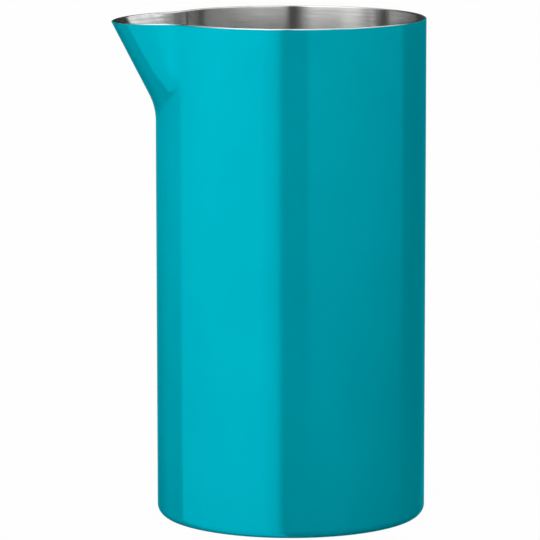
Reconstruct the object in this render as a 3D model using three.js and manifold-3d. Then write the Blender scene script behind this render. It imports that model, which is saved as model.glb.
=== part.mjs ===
// Creamer: a straight steel beaker with a pressed pouring lip, brushed inside and enamelled outside.
// Millimetres, +Z up. The origin is on the body's axis at table height, and the lip points to -X.
import * as THREE from "three";
import { mergeVertices } from "three/addons/utils/BufferGeometryUtils.js";
import Module from "manifold-3d";

// Steel body
const BODY_DIAMETER = 50; // outside of the steel
const BODY_HEIGHT = 93.6; // table to the top of the rim
const SHEET = 0.8; // steel sheet of the wall, the lip and the base
const RIM_ROUND = 0.14; // height of the rounding over the rim's edge

// Base, a shallow pressed cup
const BASE_UPSTAND = 5; // table to the weld under the tube
const BASE_INSIDE_RADIUS = 0.8; // inside of the bend between floor and upstand
const FOOT_RING_WIDTH = 2.6; // flat ring that stands on the table
const BASE_RECESS = 0.5; // how far the middle is pressed up

// Pouring lip, a half round pressed out of a panel of the wall
const SPOUT_REACH = 8.25; // wall to the tip of the lip
const SPOUT_TILT = 27.3; // degrees between the lip's front line and the wall
const SPOUT_NOSE_RADIUS = 12.8; // roundness of the lip seen from above
const SPOUT_ROOT_BEND = 11; // bend from the wall into the front line
const SPOUT_SIDE_BLEND = 8; // hollow bend from the wall into the lip's sides
const SPOUT_ROOT_WIDTH = 0.4; // width where the lip begins, as a share of its width at the rim
const SPOUT_FULL_RISE = 0.5; // share of the lip's height over which it widens
const LIP_DROP = 0.6; // how far the rim dips at the tip

// Welds, ground flush on both sides
const WELD_WIDTH = 1;
const NOTCH_MARGIN = 2; // plain wall left on the lip's panel around its bends

// Enamel
const ENAMEL = 0.2; // thickness of the fused coat
const ENAMEL_FOOT_CLEARANCE = 0.05; // table to the coat's lower edge

// Fineness of the facets
const ROUND_STEPS = 72; // around the body
const SPOUT_SPARE_STEPS = 2; // of those, kept plain on each side of the lip
const BEND_STEPS = 4; // up the root bend
const SLOPE_STEPS = 5; // up the lip's front line
const RIM_STEPS = 4; // over the rounded rim
const FOOT_STEPS = 3; // round the base corner, down to the coat's edge
const UNDERSIDE_STEPS = 1; // from the coat's edge to the foot ring
const NOTCH_STEPS = 24; // round the bottom of the notch

// Sizes that follow
const BODY_RADIUS = BODY_DIAMETER / 2;
const TILT = THREE.MathUtils.degToRad(SPOUT_TILT);
const TIP_HEIGHT = BODY_HEIGHT - LIP_DROP;
const FOLD_HEIGHT = TIP_HEIGHT - SPOUT_REACH / Math.tan(TILT);
const BEND_HEIGHT = FOLD_HEIGHT - SPOUT_ROOT_BEND * Math.tan(TILT / 2);
const BEND_RISE = SPOUT_ROOT_BEND * Math.sin(TILT);
const FULL_WIDTH_HEIGHT = THREE.MathUtils.lerp(BEND_HEIGHT, BODY_HEIGHT, SPOUT_FULL_RISE);
const TUBE_BOTTOM = BASE_UPSTAND + WELD_WIDTH;
const CORNER_RADIUS = BASE_INSIDE_RADIUS + SHEET;
const CORNER_CENTRE = BODY_RADIUS - CORNER_RADIUS;
const FOOT_ANGLE = Math.asin((CORNER_RADIUS - ENAMEL_FOOT_CLEARANCE) / (CORNER_RADIUS + ENAMEL));

const wasm = await Module();
wasm.setup();

const steps = (count) => Array.from({ length: count + 1 }, (_, i) => i / count);

// Distance from the axis to the lip's front line at height z, on a skin that lies
// offset outside the steel. Below the root bend it is the plain wall.
function ridgeReach(z, offset) {
  const bend = SPOUT_ROOT_BEND - offset;
  const rise = z - BEND_HEIGHT;
  if (rise <= 0) return BODY_RADIUS + offset;
  const bendCentre = BODY_RADIUS + SPOUT_ROOT_BEND;
  const top = bend * Math.sin(TILT);
  if (rise <= top) return bendCentre - Math.sqrt(bend ** 2 - rise ** 2);
  return bendCentre - bend * Math.cos(TILT) + (rise - top) * Math.tan(TILT);
}

// Angle on the wall where the lip's sides end at the rim. The nose's radius at the tip sets it.
const TIP_CENTRE = BODY_RADIUS + SPOUT_REACH - SPOUT_NOSE_RADIUS;
const BLEND_ORBIT = BODY_RADIUS + SPOUT_SIDE_BLEND;
const LIP_ANGLE = Math.acos(
  (BLEND_ORBIT ** 2 + TIP_CENTRE ** 2 - (SPOUT_NOSE_RADIUS + SPOUT_SIDE_BLEND) ** 2) /
    (2 * BLEND_ORBIT * TIP_CENTRE),
);

// The arcs of the lip's level outline at height z: a round nose, a hollow bend and the round
// wall. The nose turns by noseAngle, and the bend brings it back to wallAngle on the wall. Lower
// down the nose grows rounder, until at the root it is the wall.
function lipArcs(z, offset) {
  const wall = BODY_RADIUS + offset;
  const blend = SPOUT_SIDE_BLEND - offset;
  const widening = THREE.MathUtils.smoothstep(z, BEND_HEIGHT, FULL_WIDTH_HEIGHT);
  const wallAngle = LIP_ANGLE * THREE.MathUtils.lerp(SPOUT_ROOT_WIDTH, 1, widening);
  const blendOut = BLEND_ORBIT * Math.cos(wallAngle);
  const blendAcross = BLEND_ORBIT * Math.sin(wallAngle);
  const reach = ridgeReach(z, offset);
  const span = BLEND_ORBIT ** 2 - blend ** 2 + reach ** 2 - 2 * reach * blendOut;
  const nose = span / (2 * (reach + blend - blendOut));
  const noseCentre = reach - nose;
  const noseAngle = Math.atan2(blendAcross, blendOut - noseCentre);
  return { wall, nose, blend, noseCentre, wallAngle, noseAngle };
}

const SPOUT_STEPS = Math.ceil((LIP_ANGLE / (2 * Math.PI)) * ROUND_STEPS) + SPOUT_SPARE_STEPS;
const SPOUT_SECTOR = (SPOUT_STEPS / ROUND_STEPS) * 2 * Math.PI;

// Point on one half of that outline, as distances out and across. share runs from 0 at the
// nose to 1 at the end of the lip's sector.
function lipOutline(z, offset, share) {
  const { wall, nose, blend, noseCentre, wallAngle, noseAngle } = lipArcs(z, offset);
  const noseLength = nose * noseAngle;
  const blendLength = blend * (noseAngle - wallAngle);
  const wallLength = wall * (SPOUT_SECTOR - wallAngle);
  const along = share * (noseLength + blendLength + wallLength);
  if (along < noseLength) {
    const turn = along / nose;
    return [noseCentre + nose * Math.cos(turn), nose * Math.sin(turn)];
  }
  if (along < noseLength + blendLength) {
    const turn = noseAngle - (along - noseLength) / blend;
    return [
      BLEND_ORBIT * Math.cos(wallAngle) - blend * Math.cos(turn),
      BLEND_ORBIT * Math.sin(wallAngle) - blend * Math.sin(turn),
    ];
  }
  const turn = wallAngle + (along - noseLength - blendLength) / wall;
  return [wall * Math.cos(turn), wall * Math.sin(turn)];
}

// A column of the wall, counted from the nose of the lip round through -Y.
function columnOf(index) {
  const fold = Math.min(index, ROUND_STEPS - index);
  const side = index <= ROUND_STEPS / 2 ? -1 : 1;
  return { fold, side, share: Math.min(fold / SPOUT_STEPS, 1) };
}

function skinPoint(index, z, offset) {
  const { fold, side, share } = columnOf(index);
  const turn = (fold / ROUND_STEPS) * 2 * Math.PI;
  const radius = BODY_RADIUS + offset;
  const [out, across] =
    share < 1 ? lipOutline(z, offset, share) : [radius * Math.cos(turn), radius * Math.sin(turn)];
  return new THREE.Vector3(-out, side * across, z);
}

// Height where the rim's rounding begins, lowest at the nose of the lip.
function shoulderHeight(index) {
  const dip = (1 + Math.cos(Math.PI * columnOf(index).share)) / 2;
  return BODY_HEIGHT - RIM_ROUND - LIP_DROP * dip;
}

const everyColumn = (point) => Array.from({ length: ROUND_STEPS }, (_, index) => point(index));
const levelRing = (z, offset) => everyColumn((index) => skinPoint(index, z, offset));

// Rings of the lip's height, from the start of the root bend to the rim's shoulder.
function lipRings(offset) {
  const bendTop = BEND_HEIGHT + BEND_RISE;
  const bend = steps(BEND_STEPS).map((t) => levelRing(BEND_HEIGHT + t * BEND_RISE, offset));
  const slope = steps(SLOPE_STEPS)
    .slice(1)
    .map((t) =>
      everyColumn((index) =>
        skinPoint(index, THREE.MathUtils.lerp(bendTop, shoulderHeight(index), t), offset),
      ),
    );
  return [...bend, ...slope];
}

function rimRings() {
  return steps(RIM_STEPS)
    .slice(1, -1)
    .map((t) =>
      everyColumn((index) => {
        const outer = skinPoint(index, shoulderHeight(index), 0);
        const inner = skinPoint(index, shoulderHeight(index), -SHEET);
        const middle = outer.clone().lerp(inner, 0.5);
        const point = middle.clone().addScaledVector(outer.sub(middle), Math.cos(Math.PI * t));
        point.z += RIM_ROUND * Math.sin(Math.PI * t);
        return point;
      }),
    );
}

// A closed skin through a loop of rings, each quad split along its shorter diagonal.
function loftRings(rings) {
  const positions = rings.flat().flatMap((point) => point.toArray());
  const indices = [];
  rings.forEach((ring, level) => {
    const nextLevel = (level + 1) % rings.length;
    const next = rings[nextLevel];
    ring.forEach((point, column) => {
      const nextColumn = (column + 1) % ROUND_STEPS;
      const a = level * ROUND_STEPS + column;
      const b = level * ROUND_STEPS + nextColumn;
      const c = nextLevel * ROUND_STEPS + nextColumn;
      const d = nextLevel * ROUND_STEPS + column;
      const alongAC = point.distanceTo(next[nextColumn]);
      const alongBD = ring[nextColumn].distanceTo(next[column]);
      if (alongAC <= alongBD) indices.push(a, b, c, a, c, d);
      else indices.push(a, b, d, b, c, d);
    });
  });
  const geometry = new THREE.BufferGeometry();
  geometry.setAttribute("position", new THREE.Float32BufferAttribute(positions, 3));
  geometry.setIndex(indices);
  geometry.computeVertexNormals();
  return geometry;
}

// The whole steel wall, lip included, before the notch is cut.
function wallGeometry() {
  const outer = [levelRing(TUBE_BOTTOM, 0), ...lipRings(0)];
  const inner = [levelRing(TUBE_BOTTOM, -SHEET), ...lipRings(-SHEET)];
  return loftRings([...outer, ...rimRings(), ...inner.reverse()]);
}

const cornerAngles = [
  ...steps(FOOT_STEPS).map((t) => t * FOOT_ANGLE),
  ...steps(UNDERSIDE_STEPS)
    .slice(1)
    .map((t) => THREE.MathUtils.lerp(FOOT_ANGLE, Math.PI / 2, t)),
];

// Point of the base corner, offset outside the steel, as radius and height.
function cornerPoint(angle, offset) {
  const radius = CORNER_RADIUS + offset;
  return new THREE.Vector2(
    CORNER_CENTRE + radius * Math.cos(angle),
    CORNER_RADIUS - radius * Math.sin(angle),
  );
}

// A profile of radius and height, turned round the body's axis.
function turned(profile) {
  return new THREE.LatheGeometry(profile, ROUND_STEPS).rotateX(Math.PI / 2);
}

function baseGeometry() {
  const ringInner = CORNER_CENTRE - FOOT_RING_WIDTH;
  const stepShift = SHEET * Math.tan(Math.PI / 8);
  const outside = [
    new THREE.Vector2(0, BASE_RECESS),
    new THREE.Vector2(ringInner - BASE_RECESS, BASE_RECESS),
    new THREE.Vector2(ringInner, 0),
    ...cornerAngles.map((angle) => cornerPoint(angle, 0)).reverse(),
    new THREE.Vector2(BODY_RADIUS, BASE_UPSTAND),
  ];
  const inside = [
    new THREE.Vector2(BODY_RADIUS - SHEET, BASE_UPSTAND),
    ...cornerAngles.map((angle) => cornerPoint(angle, -SHEET)),
    new THREE.Vector2(ringInner + stepShift, SHEET),
    new THREE.Vector2(ringInner + stepShift - BASE_RECESS, BASE_RECESS + SHEET),
    new THREE.Vector2(0, BASE_RECESS + SHEET),
  ];
  return turned([...outside, ...inside]);
}

function baseWeldGeometry() {
  const inner = BODY_RADIUS - SHEET;
  return turned([
    new THREE.Vector2(inner, BASE_UPSTAND),
    new THREE.Vector2(BODY_RADIUS, BASE_UPSTAND),
    new THREE.Vector2(BODY_RADIUS, TUBE_BOTTOM),
    new THREE.Vector2(inner, TUBE_BOTTOM),
    new THREE.Vector2(inner, BASE_UPSTAND),
  ]);
}

// The coat wraps the lip, the wall and the base corner, and leaves the rim and the foot bare.
function enamelGeometry() {
  const side = (offset) => {
    const corner = cornerAngles.slice(0, FOOT_STEPS + 1).reverse();
    const foot = corner.map((angle) => {
      const point = cornerPoint(angle, offset);
      return levelRing(point.y, point.x - BODY_RADIUS);
    });
    return [...foot, ...lipRings(offset)];
  };
  return loftRings([...side(ENAMEL), ...side(0).reverse()]);
}

// The punched notch that the lip's panel is welded into: a U through the front wall, open at
// the rim. The same U with an inset cuts out the panel.
function notchGeometry(inset) {
  const halfWidth = BODY_RADIUS * Math.sin(LIP_ANGLE) + NOTCH_MARGIN;
  const centre = BEND_HEIGHT - NOTCH_MARGIN + halfWidth;
  const above = Math.max(BODY_HEIGHT, centre) + SHEET;
  const shape = new THREE.Shape();
  shape.moveTo(halfWidth - inset, above);
  shape.lineTo(inset - halfWidth, above);
  shape.absarc(0, centre, halfWidth - inset, Math.PI, 2 * Math.PI, false);
  shape.closePath();
  const prism = new THREE.ExtrudeGeometry(shape, {
    depth: BODY_RADIUS + SPOUT_REACH + SHEET,
    bevelEnabled: false,
    curveSegments: NOTCH_STEPS,
  });
  return prism.rotateX(Math.PI / 2).rotateZ(-Math.PI / 2);
}

function toSolid(geometry) {
  const bare = geometry.clone();
  bare.deleteAttribute("normal");
  bare.deleteAttribute("uv");
  const merged = mergeVertices(bare, 1e-4);
  return new wasm.Manifold(
    new wasm.Mesh({
      numProp: 3,
      vertProperties: merged.getAttribute("position").array,
      triVerts: new Uint32Array(merged.index.array),
    }),
  );
}

function toGeometry(solid) {
  const mesh = solid.getMesh();
  const geometry = new THREE.BufferGeometry();
  geometry.setAttribute("position", new THREE.BufferAttribute(mesh.vertProperties, 3));
  geometry.setIndex(new THREE.BufferAttribute(mesh.triVerts, 1));
  geometry.computeVertexNormals();
  return geometry;
}

const brushedSteel = new THREE.MeshStandardMaterial({ color: 0x9a9a98, roughness: 0.35, metalness: 1 });
const weldSteel = new THREE.MeshStandardMaterial({ color: 0x8d8d8c, roughness: 0.3, metalness: 1 });
const tealEnamel = new THREE.MeshStandardMaterial({ color: 0x00a3b4, roughness: 0.15, metalness: 0 });

const creamer = new THREE.Group();
creamer.name = "creamer";

function addPiece(name, geometry, material) {
  const piece = new THREE.Mesh(geometry, material);
  piece.name = name;
  creamer.add(piece);
}

const wall = toSolid(wallGeometry());
const notch = toSolid(notchGeometry(0));
const lipPanel = toSolid(notchGeometry(WELD_WIDTH));

addPiece("base_cup", baseGeometry(), brushedSteel);
addPiece("base_weld", baseWeldGeometry(), weldSteel);
addPiece("body_tube", toGeometry(wall.subtract(notch)), brushedSteel);
addPiece("spout_weld", toGeometry(wall.intersect(notch).subtract(lipPanel)), weldSteel);
addPiece("spout_lip", toGeometry(wall.intersect(lipPanel)), brushedSteel);
addPiece("enamel_coat", enamelGeometry(), tealEnamel);

export default creamer;
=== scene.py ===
import math

import bmesh
import bpy
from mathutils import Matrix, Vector


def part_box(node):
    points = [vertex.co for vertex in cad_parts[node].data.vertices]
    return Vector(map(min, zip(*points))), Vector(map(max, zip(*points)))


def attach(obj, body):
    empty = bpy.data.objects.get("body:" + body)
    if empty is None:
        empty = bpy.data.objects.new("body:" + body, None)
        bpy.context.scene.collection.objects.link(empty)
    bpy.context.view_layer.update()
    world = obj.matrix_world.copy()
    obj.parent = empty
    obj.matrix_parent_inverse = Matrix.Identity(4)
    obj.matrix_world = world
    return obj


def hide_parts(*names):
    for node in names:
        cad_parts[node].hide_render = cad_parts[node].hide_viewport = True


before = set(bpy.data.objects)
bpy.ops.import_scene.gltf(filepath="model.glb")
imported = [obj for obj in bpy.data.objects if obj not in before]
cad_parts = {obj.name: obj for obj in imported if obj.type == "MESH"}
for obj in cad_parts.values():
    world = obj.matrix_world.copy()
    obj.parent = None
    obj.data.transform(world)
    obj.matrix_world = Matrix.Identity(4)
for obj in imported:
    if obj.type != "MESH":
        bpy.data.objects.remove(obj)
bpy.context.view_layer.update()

MM = 0.001

# Sizes read from the frame
TUBE_LOW, TUBE_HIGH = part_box("body_tube")
COAT_LOW, COAT_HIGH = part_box("enamel_coat")
BASE_LOW, BASE_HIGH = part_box("base_cup")
BODY_RADIUS = TUBE_HIGH[0]
BODY_HEIGHT = TUBE_HIGH[2]
TUBE_BOTTOM = TUBE_LOW[2]
BASE_UPSTAND = BASE_HIGH[2]
ENAMEL = COAT_HIGH[0] - BODY_RADIUS

# Sheet and base, as the solids have them
SHEET = 0.8 * MM
RIM_ROUND = 0.14 * MM
CORNER_RADIUS = 1.6 * MM
FOOT_RING_WIDTH = 2.6 * MM
BASE_RECESS = 0.5 * MM
FOOT_CLEARANCE = 0.05 * MM
COAT_ROUND = 0.06 * MM
CORNER_CENTRE = BODY_RADIUS - CORNER_RADIUS

# Pouring lip, as the solids have it
LIP_REACH = 8.25 * MM
LIP_TILT = math.radians(27.3)
LIP_NOSE_RADIUS = 12.8 * MM
LIP_ROOT_BEND = 11 * MM
LIP_SIDE_BLEND = 8 * MM
LIP_ROOT_WIDTH = 0.4
LIP_FULL_RISE = 0.5
LIP_DROP = 0.6 * MM
LIP_SECTOR = math.radians(50)
WELD_WIDTH = 1 * MM
NOTCH_MARGIN = 2 * MM
FOLD_HEIGHT = BODY_HEIGHT - LIP_DROP - LIP_REACH / math.tan(LIP_TILT)
BEND_HEIGHT = FOLD_HEIGHT - LIP_ROOT_BEND * math.tan(LIP_TILT / 2)
SHOULDER = BODY_HEIGHT - RIM_ROUND
TIP_CENTRE = BODY_RADIUS + LIP_REACH - LIP_NOSE_RADIUS
BLEND_ORBIT = BODY_RADIUS + LIP_SIDE_BLEND
LIP_ANGLE = math.acos(
    (BLEND_ORBIT**2 + TIP_CENTRE**2 - (LIP_NOSE_RADIUS + LIP_SIDE_BLEND) ** 2)
    / (2 * BLEND_ORBIT * TIP_CENTRE)
)
NOTCH_HALF = BODY_RADIUS * math.sin(LIP_ANGLE) + NOTCH_MARGIN
NOTCH_CENTRE = BEND_HEIGHT - NOTCH_MARGIN + NOTCH_HALF

# Fineness of the meshes
LIP_COLUMNS = 36
BACK_COLUMNS = 66
LIP_ROWS = 30
WALL_ROWS = 6
CORNER_ROWS = 8
RIM_STEPS = 4
EDGE_ROW = 0.06 * MM
TURNED_COLUMNS = 160
STEP_ROWS = 8
STEP_WIDTH = 1.2 * MM
SHARP_ANGLE = math.radians(40)
TOUCH = 1e-7

# Camera, from the fit to the photograph
CAMERA_DISTANCE = 732 * MM
CAMERA_ELEVATION = math.radians(8.745)
FRAME_PIXELS = 540
FOCAL_PIXELS = 3901.6
AXIS_PIXEL = (290.89, 265.85)
SENSOR = 36

# Finishes: colours are linear, noises are used between GRAIN_LIMITS, and a brush has the scales of
# its noise along the streaks and across them
GRAIN_LIMITS = (0.3, 0.7)
FINE_BRUSH = (3.0, 2400.0)
BROAD_BRUSH = (1.5, 1200.0)
BRUSH_DEPTH = 0.02 * MM
QUARTER_TURN = 0.25
ENAMEL_DEEP = (0.0, 0.335, 0.42)
ENAMEL_PALE = (0.0, 0.355, 0.44)
ENAMEL_GLOSS = (0.0, 0.9, 1.0)
ENAMEL_METAL = 0.28
ENAMEL_ROUGHNESS = (0.06, 0.1)
CLOUD_SCALE = 60.0
PEEL_SCALE = 350.0
PEEL_DEPTH = 0.1 * MM
PEEL_STRENGTH = 0.02
FLOOR_GREY = 0.45
FLOOR_ROUGHNESS = 0.9

# Studio light, in bands of elevation: (low edge, high edge, softness of each), and strengths by
# azimuth, both in degrees. Azimuths count from the camera's side to the right, and strengths run
# evenly from one to the next. A strength of 1 is the white of the background, soft boxes are
# brighter and dark cards are darker.
STUDIO = [
    # Mirrored by the lower wall: a box on the left, and dark cards from the middle to the right
    (
        (-100, -9, 2, 8),
        [
            (-180, 0.5), (-150, 0.3), (-130, 0.9), (-108, 0.75), (-107, 1.9), (-25, 1.95),
            (-11.5, 1.35), (-6.5, 0.05), (16.5, 0.1), (40, 0.25), (109, 0.1), (111, 0.03),
            (149, 0.03), (155, 0.4), (180, 0.5),
        ],
    ),
    # Mirrored by the upper wall: the same box and cards, with more light on the right
    (
        (-9, -2, 8, 4),
        [
            (-180, 0.5), (-150, 1.1), (-108, 1.75), (-107, 2.25), (-70, 2.5), (-25, 2.05),
            (-11.5, 1.4), (-6.5, 0.2), (12.5, 0.2), (16.5, 0.8), (109, 0.75), (111, 0.1),
            (149, 0.1), (180, 0.5),
        ],
    ),
    # Into the cup from the front: two boxes with a dark gap between them
    (
        (-2, 16, 4, 8),
        [
            (-95, 0.02), (-87, 0.65), (-75, 1.4), (-64, 2.9), (-45, 3.2), (-20, 4), (-9, 0.6),
            (-6, 0.02), (1.5, 0.02), (4.5, 2.3), (27, 2.9), (45, 2.1), (60, 0.6), (75, 0.04),
        ],
    ),
    # Into the cup and the lip from higher up: a box on the left and one on the right
    (
        (16, 38, 8, 12),
        [
            (-100, 0.05), (-75, 0.6), (-64, 1.7), (-45, 2.4), (-20, 2.5), (-9, 1.8), (-6, 0.02),
            (1.5, 0.02), (4.5, 0.6), (30, 0.3), (46, 0.3), (54, 2.3), (70, 2.9), (92, 1.6),
            (119, 1.9), (127, 0.08),
        ],
    ),
    # High fill in front and a box behind
    (
        (38, 68, 12, 12),
        [
            (-160, 3.8), (-130, 0.5), (-100, 0.1), (-85, 0.3), (-64, 1.1), (-9, 0.8), (-6, 0.2),
            (1.5, 0.2), (4.5, 0.8), (40, 0.6), (60, 0.1), (110, 0.1), (130, 0.4), (165, 3.8),
        ],
    ),
    # Overhead
    ((68, 100, 12, 2), [(0, 1.8)]),
]
STRONGEST = max(strength for band, strengths in STUDIO for angle, strength in strengths)

# Floor: FLOOR_GLOW is the share of plain white in what the camera sees of it
FLOOR_RADIUS = 4.0
FLOOR_SIDES = 64
FLOOR_GLOW = 0.98
FLOOR_GAP = 0.02 * MM


def ridge_reach(z, offset):
    """Distance from the axis to the lip's front line, on a skin that lies offset outside the steel."""
    bend = LIP_ROOT_BEND - offset
    rise = z - BEND_HEIGHT
    if rise <= 0:
        return BODY_RADIUS + offset
    bend_centre = BODY_RADIUS + LIP_ROOT_BEND
    top = bend * math.sin(LIP_TILT)
    if rise <= top:
        return bend_centre - math.sqrt(bend**2 - rise**2)
    return bend_centre - bend * math.cos(LIP_TILT) + (rise - top) * math.tan(LIP_TILT)


def lip_arcs(z, offset):
    """Radii of wall, nose and side blend at height z, the nose's centre, and the angles at which
    the blend ends on the wall and begins on the nose."""
    wall = BODY_RADIUS + offset
    blend = LIP_SIDE_BLEND - offset
    rise = min(max((z - BEND_HEIGHT) / (BODY_HEIGHT - BEND_HEIGHT) / LIP_FULL_RISE, 0), 1)
    widening = rise * rise * (3 - 2 * rise)
    wall_angle = LIP_ANGLE * (LIP_ROOT_WIDTH + (1 - LIP_ROOT_WIDTH) * widening)
    blend_out = BLEND_ORBIT * math.cos(wall_angle)
    blend_across = BLEND_ORBIT * math.sin(wall_angle)
    reach = ridge_reach(z, offset)
    span = BLEND_ORBIT**2 - blend**2 + reach**2 - 2 * reach * blend_out
    nose = span / (2 * (reach + blend - blend_out))
    centre = reach - nose
    return wall, nose, blend, centre, wall_angle, math.atan2(blend_across, blend_out - centre)


def lip_outline(z, offset, share):
    """Point of half the lip's level outline; share is 0 at the nose and 1 at the sector's end."""
    wall, nose, blend, centre, wall_angle, nose_angle = lip_arcs(z, offset)
    nose_length = nose * nose_angle
    blend_length = blend * (nose_angle - wall_angle)
    along = share * (nose_length + blend_length + wall * (LIP_SECTOR - wall_angle))
    if along < nose_length:
        turn = along / nose
        return centre + nose * math.cos(turn), nose * math.sin(turn)
    if along < nose_length + blend_length:
        turn = nose_angle - (along - nose_length) / blend
        return (
            BLEND_ORBIT * math.cos(wall_angle) - blend * math.cos(turn),
            BLEND_ORBIT * math.sin(wall_angle) - blend * math.sin(turn),
        )
    turn = wall_angle + (along - nose_length - blend_length) / wall
    return wall * math.cos(turn), wall * math.sin(turn)


def skin_point(turn, level, offset):
    """Point of the vessel's skin. turn is the angle from the nose of the lip, level the nominal
    height: it runs round the base corner below, and follows the dipped rim above."""
    size = abs(turn)
    share = min(size / LIP_SECTOR, 1)
    if level < CORNER_RADIUS:
        angle = (1 - level / CORNER_RADIUS) * math.pi / 2
        radius = CORNER_RADIUS + offset
        out = CORNER_CENTRE + radius * math.cos(angle)
        z = CORNER_RADIUS - radius * math.sin(angle)
        return Vector((-out * math.cos(turn), -out * math.sin(turn), z))
    z = level
    if level > BEND_HEIGHT:
        dip = LIP_DROP * (1 + math.cos(math.pi * share)) / 2
        z -= dip * (level - BEND_HEIGHT) / (SHOULDER - BEND_HEIGHT)
    if share < 1:
        out, across = lip_outline(z, offset, share)
    else:
        out = (BODY_RADIUS + offset) * math.cos(size)
        across = (BODY_RADIUS + offset) * math.sin(size)
    return Vector((-out, -math.copysign(across, turn), z))


def spread(low, high, count):
    """Values from low to high in count even steps."""
    return [low + (high - low) * i / count for i in range(count + 1)]


def lip_levels(top):
    """Levels of the lip's rows, with one close under the top that keeps the wall's shading even."""
    return spread(BEND_HEIGHT, top, LIP_ROWS)[1:-1] + [top - EDGE_ROW, top]


def turns():
    """Angles of the columns from one side of the back, over the lip, to the other side."""
    half = spread(0, LIP_SECTOR, LIP_COLUMNS) + spread(LIP_SECTOR, math.pi, BACK_COLUMNS)[1:]
    return [-a for a in reversed(half[1:])] + half


def flat_grid(levels):
    """The skin unrolled: a bmesh whose x is the turn and whose y is the level."""
    bm = bmesh.new()
    columns = turns()
    rows = [[bm.verts.new((turn, level, 0)) for turn in columns] for level in levels]
    for low, high in zip(rows, rows[1:]):
        for i in range(len(low) - 1):
            bm.faces.new((low[i], low[i + 1], high[i + 1], high[i]))
    return bm


def split_along(bm, field):
    """Cuts the grid's faces where field changes sign."""
    values = {vert: field(vert.co) for vert in bm.verts}
    cuts = set()
    for edge in list(bm.edges):
        first, second = edge.verts
        a, b = values[first], values[second]
        if a * b < 0:
            cuts.add(bmesh.utils.edge_split(edge, first, a / (a - b))[1])
    for face in list(bm.faces):
        ends = [vert for vert in face.verts if vert in cuts]
        if len(ends) == 2:
            bmesh.utils.face_split(face, ends[0], ends[1])


def edge_arc(outer, inner, rounding):
    """Points of a sheet's edge with rounded corners, between its two shoulders, which are left out."""
    middle = (outer + inner) / 2
    half = (outer - inner).length / 2
    inset = min(rounding, half)
    across = (outer - middle) / half
    points = []
    for side in (1, -1):
        corner = []
        for angle in spread(0, math.pi / 2, RIM_STEPS)[1:]:
            point = middle + across * side * (half - inset + inset * math.cos(angle))
            point.z += rounding * math.sin(angle)
            corner.append(point)
        points += corner if side == 1 else corner[::-1]
    return points


def on_seam(vert):
    """Whether a vertex of the grid lies on the line at the back where its two ends meet."""
    return abs(abs(vert.co.x) - math.pi) < TOUCH


def close_edge(bm, first, second):
    """Closes a sheet's edge between two lines across it. Where both lines are rounded it is the rim,
    whose faces have material index 1."""
    if min(len(first), len(second)) == 2:
        bm.faces.new(first + second[::-1])
        return
    for k in range(len(first) - 1):
        rim = bm.faces.new((second[k], first[k], first[k + 1], second[k + 1]))
        rim.material_index = 1


def thicken(faces, outside, inside, top, rounding):
    """A closed bmesh of the grid's faces between two skins, with a rounded edge at the top level."""
    bm = bmesh.new()
    across = {}
    for vert in dict.fromkeys(vert for face in faces for vert in face.verts):
        outer = skin_point(vert.co.x, vert.co.y, outside)
        inner = skin_point(vert.co.x, vert.co.y, inside)
        rim = edge_arc(outer, inner, rounding) if abs(vert.co.y - top) < TOUCH else []
        across[vert] = [bm.verts.new(point) for point in (outer, *rim, inner)]
    chosen = set(faces)
    for face in faces:
        bm.faces.new([across[vert][0] for vert in face.verts])
        bm.faces.new([across[vert][-1] for vert in reversed(face.verts)])
        for loop in face.loops:
            a = loop.vert
            b = loop.link_loop_next.vert
            shared = any(other is not face and other in chosen for other in loop.edge.link_faces)
            if not shared and not (on_seam(a) and on_seam(b)):
                close_edge(bm, across[a], across[b])
    bmesh.ops.remove_doubles(bm, verts=bm.verts, dist=TOUCH)
    return bm


def turned(profile):
    """A closed bmesh of a profile of (radius, height) turned round the axis."""
    bm = bmesh.new()
    angles = spread(0, 2 * math.pi, TURNED_COLUMNS)[:-1]
    rings = []
    for radius, z in profile:
        if radius < TOUCH:
            rings.append([bm.verts.new((0, 0, z))] * TURNED_COLUMNS)
        else:
            rings.append([bm.verts.new((radius * math.cos(a), radius * math.sin(a), z)) for a in angles])
    for low, high in zip(rings, rings[1:]):
        for i in range(TURNED_COLUMNS):
            j = (i + 1) % TURNED_COLUMNS
            bm.faces.new(list(dict.fromkeys((low[i], low[j], high[j], high[i]))))
    return bm


def add_piece(name, bm, materials, slot, *nodes):
    """Makes the piece's object, smooth but for its sharp edges, in place of its CAD nodes."""
    bmesh.ops.recalc_face_normals(bm, faces=bm.faces)
    mesh = bpy.data.meshes.new(name)
    bm.to_mesh(mesh)
    bm.free()
    for material in materials:
        mesh.materials.append(material)
    mesh.shade_smooth()
    mesh.set_sharp_from_angle(angle=SHARP_ANGLE)
    piece = bpy.data.objects.new(name, mesh)
    bpy.context.scene.collection.objects.link(piece)
    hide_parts(*nodes)
    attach(piece, "root")


def notch_distance(spot):
    """How far a spot of the unrolled wall lies from the middle of the lip's U-shaped notch."""
    point = skin_point(spot.x, spot.y, -SHEET / 2)
    if point.x > 0:
        return BODY_HEIGHT
    if point.z >= NOTCH_CENTRE:
        return abs(point.y)
    return math.hypot(point.y, point.z - NOTCH_CENTRE)


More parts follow.
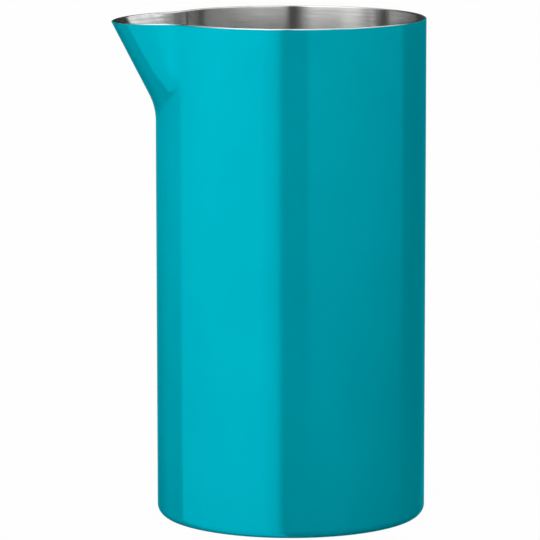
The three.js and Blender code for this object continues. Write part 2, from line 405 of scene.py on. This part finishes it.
def add_wall(steel, weld, polish):
    """The tube with its notch, the lip in the notch and the weld between them."""
    grid = flat_grid(spread(TUBE_BOTTOM, BEND_HEIGHT, WALL_ROWS) + lip_levels(SHOULDER))
    panel_half = NOTCH_HALF - WELD_WIDTH
    split_along(grid, lambda spot: notch_distance(spot) - NOTCH_HALF)
    split_along(grid, lambda spot: notch_distance(spot) - panel_half)
    groups = {"tube": [], "weld": [], "lip": []}
    for face in grid.faces:
        distance = notch_distance(face.calc_center_median())
        if distance > NOTCH_HALF:
            groups["tube"].append(face)
        elif distance > panel_half:
            groups["weld"].append(face)
        else:
            groups["lip"].append(face)
    pieces = [
        ("steel_tube", "tube", steel, "brushed_steel", "body_tube"),
        ("lip_weld", "weld", weld, "weld_steel", "spout_weld"),
        ("pouring_lip", "lip", steel, "brushed_steel", "spout_lip"),
    ]
    for name, group, finish, slot, node in pieces:
        sheet = thicken(groups[group], 0, -SHEET, SHOULDER, RIM_ROUND)
        add_piece(name, sheet, (finish, polish), slot, node)
    grid.free()


def add_coat(enamel):
    """The enamel, from just above the floor to just under the rim."""
    foot_angle = math.asin((CORNER_RADIUS - FOOT_CLEARANCE) / (CORNER_RADIUS + ENAMEL))
    foot_level = CORNER_RADIUS * (1 - foot_angle / (math.pi / 2))
    levels = (
        spread(foot_level, CORNER_RADIUS, CORNER_ROWS)
        + spread(CORNER_RADIUS, BEND_HEIGHT, WALL_ROWS)[1:]
        + lip_levels(SHOULDER - COAT_ROUND)
    )
    grid = flat_grid(levels)
    coat = thicken(list(grid.faces), ENAMEL, 0, levels[-1], COAT_ROUND)
    add_piece("teal_coat", coat, (enamel, enamel), "teal_enamel", "enamel_coat")
    grid.free()


def corner_profile(offset, angles):
    """Points of the base's round corner at the angles, on a skin that lies offset outside the steel."""
    radius = CORNER_RADIUS + offset
    return [
        (CORNER_CENTRE + radius * math.cos(a), CORNER_RADIUS - radius * math.sin(a)) for a in angles
    ]


def pressed_step(lift):
    """The smooth step from the foot ring up to the raised middle, from outside inwards."""
    outer = CORNER_CENTRE - FOOT_RING_WIDTH
    points = []
    for t in spread(0, 1, STEP_ROWS):
        height = BASE_RECESS * (1 - math.cos(math.pi * t)) / 2
        points.append((outer - STEP_WIDTH * t, lift + height))
    return points


def add_base(steel, weld):
    """The pressed base and the ring weld on its upstand."""
    down = spread(0, math.pi / 2, CORNER_ROWS)
    outside = [(0, BASE_RECESS)] + pressed_step(0)[::-1] + corner_profile(0, down[::-1])
    outside.append((BODY_RADIUS, BASE_UPSTAND))
    inside = [(BODY_RADIUS - SHEET, BASE_UPSTAND)] + corner_profile(-SHEET, down)
    inside += pressed_step(SHEET) + [(0, BASE_RECESS + SHEET)]
    add_piece("pressed_base", turned(outside + inside), (steel,), "brushed_steel", "base_cup")
    ring = [
        (BODY_RADIUS - SHEET, BASE_UPSTAND),
        (BODY_RADIUS, BASE_UPSTAND),
        (BODY_RADIUS, TUBE_BOTTOM),
        (BODY_RADIUS - SHEET, TUBE_BOTTOM),
        (BODY_RADIUS - SHEET, BASE_UPSTAND),
    ]
    bm = turned(ring)
    bmesh.ops.remove_doubles(bm, verts=bm.verts, dist=TOUCH)
    add_piece("base_ring_weld", bm, (weld,), "weld_steel", "base_weld")


def add_node(tree, kind, inputs=(), **settings):
    """A node with its settings, and its inputs as (name or index, value or socket) pairs."""
    made = tree.nodes.new(kind)
    for key, value in settings.items():
        setattr(made, key, value)
    for key, value in inputs:
        if isinstance(value, bpy.types.NodeSocket):
            tree.links.new(value, made.inputs[key])
        else:
            made.inputs[key].default_value = value
    return made


def math_node(tree, operation, first, second=0.0):
    return add_node(tree, "ShaderNodeMath", [(0, first), (1, second)], operation=operation).outputs[0]


def vector_node(tree, operation, *inputs):
    return add_node(tree, "ShaderNodeVectorMath", inputs, operation=operation).outputs


def map_range(tree, value, low, high, to_low, to_high, smooth=False):
    limits = [("From Min", low), ("From Max", high), ("To Min", to_low), ("To Max", to_high)]
    kind = "SMOOTHSTEP" if smooth else "LINEAR"
    made = add_node(
        tree, "ShaderNodeMapRange", [("Value", value), *limits], interpolation_type=kind
    )
    return made.outputs["Result"]


def noise(tree, vector, scale, detail):
    made = add_node(
        tree, "ShaderNodeTexNoise", [("Vector", vector), ("Scale", scale), ("Detail", detail)]
    )
    return made.outputs["Fac"]


def new_material(name):
    """A material with its node tree and its Principled shader."""
    material = bpy.data.materials.new(name)
    material.use_nodes = True
    tree = material.node_tree
    return material, tree, tree.nodes["Principled BSDF"]


def set_inputs(shader, **values):
    for key, value in values.items():
        shader.inputs[key.replace("_", " ")].default_value = value


def mixed_colour(tree, grain, dark, light):
    """Colour between dark and light by the noise called grain."""
    mix = add_node(tree, "ShaderNodeMix", data_type="RGBA")
    tree.links.new(map_range(tree, grain, *GRAIN_LIMITS, 0, 1), mix.inputs["Factor"])
    mix.inputs["A"].default_value = (*dark, 1)
    mix.inputs["B"].default_value = (*light, 1)
    return mix.outputs["Result"]


def link_bump(tree, shader, height, strength, depth):
    """Bumps the surface by a noise."""
    settings = [("Height", height), ("Strength", strength), ("Distance", depth)]
    bump = add_node(tree, "ShaderNodeBump", settings)
    tree.links.new(bump.outputs["Normal"], shader.inputs["Normal"])


def brush_grain(tree, place, scales, turned_face):
    """Noise drawn out round the axis: level streaks on a wall, or rings on a turned face."""
    along, across = scales
    flat = vector_node(tree, "MULTIPLY", (0, place), (1, (1, 1, 0)))[0]
    heading = vector_node(tree, "NORMALIZE", (0, flat))[0]
    streak = vector_node(tree, "SCALE", (0, heading), ("Scale", along))[0]
    line = add_node(tree, "ShaderNodeSeparateXYZ", [(0, place)]).outputs["Z"]
    if turned_face:
        line = math_node(tree, "ADD", line, vector_node(tree, "LENGTH", (0, flat))["Value"])
    lift = add_node(tree, "ShaderNodeCombineXYZ", [("Z", math_node(tree, "MULTIPLY", line, across))])
    spot = vector_node(tree, "ADD", (0, streak), (1, lift.outputs[0]))[0]
    return noise(tree, spot, scale=1.0, detail=1.0)


def steel_material(name, dark, light, roughness, anisotropy, bump, turned_face=False):
    """Brushed stainless steel with its lines round the axis. The light lines are the smoother ones."""
    material, tree, shader = new_material(name)
    place = add_node(tree, "ShaderNodeTexCoord").outputs["Object"]
    fine = brush_grain(tree, place, FINE_BRUSH, turned_face)
    broad = brush_grain(tree, place, BROAD_BRUSH, turned_face)
    grain = math_node(tree, "MULTIPLY", math_node(tree, "ADD", fine, broad), 0.5)
    tree.links.new(mixed_colour(tree, grain, dark, light), shader.inputs["Base Color"])
    smooth, rough = roughness
    tree.links.new(map_range(tree, grain, *GRAIN_LIMITS, rough, smooth), shader.inputs["Roughness"])
    link_bump(tree, shader, grain, bump, BRUSH_DEPTH)
    tangent = add_node(tree, "ShaderNodeTangent", direction_type="RADIAL", axis="Z")
    tree.links.new(tangent.outputs[0], shader.inputs["Tangent"])
    set_inputs(shader, Metallic=1.0, Anisotropic=anisotropy, Anisotropic_Rotation=QUARTER_TURN)
    return material


def enamel_material():
    """Glossy teal enamel: a little uneven in depth and gloss, with a faint orange peel."""
    material, tree, shader = new_material("teal_enamel")
    place = add_node(tree, "ShaderNodeTexCoord").outputs["Object"]
    cloud = noise(tree, place, CLOUD_SCALE, detail=3.0)
    tree.links.new(mixed_colour(tree, cloud, ENAMEL_DEEP, ENAMEL_PALE), shader.inputs["Base Color"])
    gloss = map_range(tree, cloud, *GRAIN_LIMITS, *ENAMEL_ROUGHNESS)
    tree.links.new(gloss, shader.inputs["Roughness"])
    peel = noise(tree, place, PEEL_SCALE, detail=1.0)
    link_bump(tree, shader, peel, PEEL_STRENGTH, PEEL_DEPTH)
    set_inputs(shader, Metallic=ENAMEL_METAL, IOR=1.5, Specular_IOR_Level=0.0)
    set_inputs(shader, Specular_Tint=(*ENAMEL_GLOSS, 1))
    return material


def sees_plain_white(tree):
    """1 for the rays that see a plain white background: the camera's, and those through glass."""
    rays = add_node(tree, "ShaderNodeLightPath").outputs
    return math_node(tree, "MAXIMUM", rays["Is Camera Ray"], rays["Is Transmission Ray"])


def band_light(tree, azimuth, elevation, band, strengths):
    """Light from one band of elevations, by azimuth."""
    ramp = add_node(tree, "ShaderNodeValToRGB", [(0, map_range(tree, azimuth, -180, 180, 0, 1))])
    stops = ramp.color_ramp.elements
    while len(stops) > 1:
        stops.remove(stops[-1])
    for index, (angle, strength) in enumerate(strengths):
        place = (angle + 180) / 360
        stop = stops.new(place) if index else stops[0]
        stop.position = place
        stop.color = (*[strength / STRONGEST] * 3, 1)
    low, high, low_soft, high_soft = band
    start = map_range(tree, elevation, low - low_soft / 2, low + low_soft / 2, 0, STRONGEST, True)
    end = map_range(tree, elevation, high - high_soft / 2, high + high_soft / 2, 1, 0, True)
    return math_node(tree, "MULTIPLY", math_node(tree, "MULTIPLY", start, end), ramp.outputs["Color"])


def add_world():
    """A studio of soft boxes and dark cards, which the camera sees as plain white."""
    world = bpy.data.worlds.new("studio")
    bpy.context.scene.world = world
    world.use_nodes = True
    tree = world.node_tree
    tree.nodes.clear()
    direction = add_node(tree, "ShaderNodeTexCoord").outputs["Generated"]
    parts = add_node(tree, "ShaderNodeSeparateXYZ", [(0, direction)])
    towards = math_node(tree, "MULTIPLY", parts.outputs["Y"], -1.0)
    turn = math_node(tree, "ARCTAN2", parts.outputs["X"], towards)
    rise = math_node(tree, "ARCSINE", parts.outputs["Z"])
    azimuth = math_node(tree, "MULTIPLY", turn, 180 / math.pi)
    elevation = math_node(tree, "MULTIPLY", rise, 180 / math.pi)
    light = 0.0
    for band, strengths in STUDIO:
        light = math_node(tree, "ADD", band_light(tree, azimuth, elevation, band, strengths), light)
    plain = sees_plain_white(tree)
    studio = add_node(tree, "ShaderNodeBackground", [("Color", (1, 1, 1, 1)), ("Strength", light)])
    white = add_node(tree, "ShaderNodeBackground", [("Color", (1, 1, 1, 1)), ("Strength", 1.0)])
    mixed = add_node(
        tree, "ShaderNodeMixShader", [(0, plain), (1, studio.outputs[0]), (2, white.outputs[0])]
    )
    out = add_node(tree, "ShaderNodeOutputWorld")
    tree.links.new(mixed.outputs[0], out.inputs["Surface"])


def add_floor():
    """A plain white floor that keeps a faint shadow."""
    bm = bmesh.new()
    bmesh.ops.create_circle(bm, cap_ends=True, segments=FLOOR_SIDES, radius=FLOOR_RADIUS)
    mesh = bpy.data.meshes.new("floor")
    bm.to_mesh(mesh)
    bm.free()
    floor = bpy.data.objects.new("floor", mesh)
    bpy.context.scene.collection.objects.link(floor)
    floor.location.z = -FLOOR_GAP
    floor.visible_glossy = False
    material, tree, shader = new_material("floor_white")
    set_inputs(shader, Base_Color=(*[FLOOR_GREY] * 3, 1), Roughness=FLOOR_ROUGHNESS)
    set_inputs(shader, Specular_IOR_Level=0.0)
    seen = sees_plain_white(tree)
    glow = add_node(tree, "ShaderNodeEmission", [("Color", (1, 1, 1, 1)), ("Strength", 1.0)])
    share = math_node(tree, "MULTIPLY", seen, FLOOR_GLOW)
    mixed = add_node(
        tree, "ShaderNodeMixShader", [(0, share), (1, shader.outputs[0]), (2, glow.outputs[0])]
    )
    tree.links.new(mixed.outputs[0], tree.nodes["Material Output"].inputs["Surface"])
    mesh.materials.append(material)


def add_camera():
    """The camera in front of the object, shifted so that the axis falls where the photograph has it."""
    camera = bpy.data.cameras.new("camera")
    camera.sensor_width = SENSOR
    camera.lens = FOCAL_PIXELS / FRAME_PIXELS * SENSOR
    camera.shift_x = (FRAME_PIXELS / 2 - AXIS_PIXEL[0]) / FRAME_PIXELS
    camera.shift_y = (AXIS_PIXEL[1] - FRAME_PIXELS / 2) / FRAME_PIXELS
    camera.clip_start = 0.01
    camera.clip_end = 100
    stand = bpy.data.objects.new("camera", camera)
    bpy.context.scene.collection.objects.link(stand)
    back = Vector((0, -math.cos(CAMERA_ELEVATION), math.sin(CAMERA_ELEVATION)))
    stand.location = Vector((0, 0, BODY_HEIGHT / 2)) + CAMERA_DISTANCE * back
    stand.rotation_euler = (-back).to_track_quat("-Z", "Y").to_euler()
    bpy.context.scene.camera = stand


bpy.context.scene.view_settings.view_transform = "Standard"
add_camera()
add_world()
add_floor()
brushed = steel_material(
    "brushed_steel",
    dark=(0.44, 0.44, 0.435),
    light=(0.69, 0.69, 0.68),
    roughness=(0.16, 0.25),
    anisotropy=0.93,
    bump=0.1,
)
spun = steel_material(
    "spun_steel",
    dark=(0.44, 0.44, 0.435),
    light=(0.69, 0.69, 0.68),
    roughness=(0.22, 0.32),
    anisotropy=0.8,
    bump=0.2,
    turned_face=True,
)
ground = steel_material(
    "weld_steel",
    dark=(0.43, 0.43, 0.425),
    light=(0.68, 0.68, 0.67),
    roughness=(0.17, 0.26),
    anisotropy=0.93,
    bump=0.1,
)
polished = steel_material(
    "polished_rim",
    dark=(0.6, 0.6, 0.595),
    light=(0.68, 0.68, 0.67),
    roughness=(0.12, 0.2),
    anisotropy=0.2,
    bump=0.05,
)
add_wall(brushed, ground, polished)
add_base(spun, ground)
add_coat(enamel_material())
